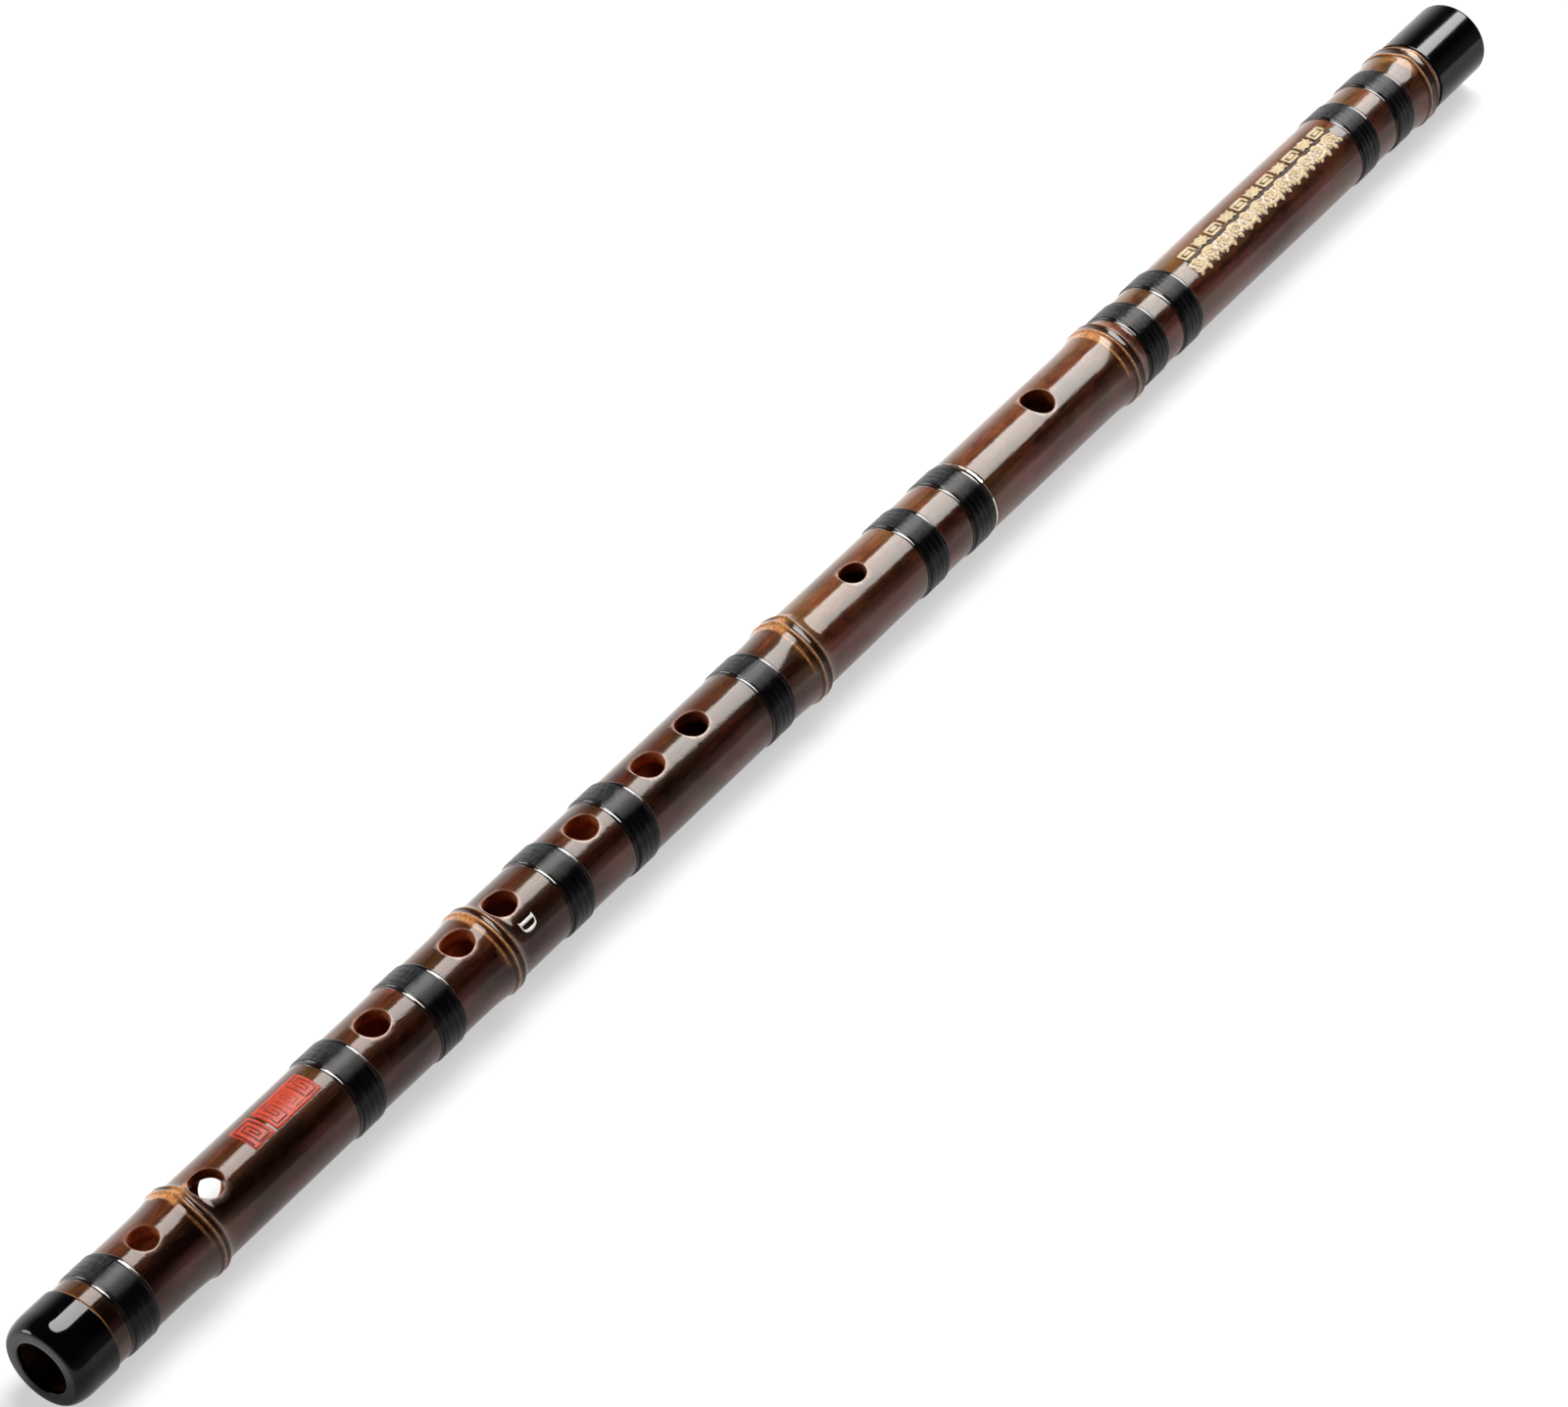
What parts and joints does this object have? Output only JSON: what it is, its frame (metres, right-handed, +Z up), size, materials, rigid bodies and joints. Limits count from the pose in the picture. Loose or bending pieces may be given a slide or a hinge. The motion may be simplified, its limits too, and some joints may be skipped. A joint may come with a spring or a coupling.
{
  "type": "dizi bamboo flute",
  "caption": "Two-section transverse bamboo flute with mouth, membrane and finger holes, thread bindings, black end caps and a brass tenon joint that slides and turns.",
  "frame": {"origin": "on the surface the flute lies on, under the middle of its length", "axes": "+X along the flute towards the closed head end, +Z up through the mouth hole and finger holes"},
  "size_m": [0.664, 0.0266, 0.0265],
  "materials": {
    "bamboo": "dark red-brown bamboo under clear gloss lacquer",
    "black_resin": "polished black",
    "black_thread": "black thread under thin lacquer",
    "nickel_silver": "pale polished metal",
    "brass": "turned brass",
    "cork": "natural cork",
    "gold_paint": "gold paint in shallow cut lines",
    "red_paint": "red seal paint",
    "white_paint": "white key letter"
  },
  "bodies": {
    "body_section": {"body_tube": "bamboo", "foot_cap": "black_resin", "socket_liner": "brass", "binding_05": "black_thread", "binding_06": "black_thread", "binding_07": "black_thread", "binding_08": "black_thread", "binding_09": "black_thread", "binding_10": "black_thread", "binding_11": "black_thread", "binding_12": "black_thread"},
    "joint_section": {"joint_ring": "nickel_silver"},
    "head_section": {"head_tube": "bamboo", "tenon": "brass", "head_cap": "black_resin", "binding_01": "black_thread", "binding_02": "black_thread", "binding_03": "black_thread", "binding_04": "black_thread"},
    "stopper_section": {"stopper": "cork"}
  },
  "joints": [
    {"name": "tuning_slide", "type": "slide", "parent": "body_section", "child": "joint_section", "axis": [1, 0, 0], "range_m": [0, 0.025]},
    {"name": "head_turn", "type": "hinge", "parent": "joint_section", "child": "head_section", "pos_m": [0.0588, 0, 0.01327], "axis": [1, 0, 0], "continuous": true},
    {"name": "stopper_slide", "type": "slide", "parent": "head_section", "child": "stopper_section", "axis": [1, 0, 0], "range_m": [-0.003, 0.01]}
  ]
}
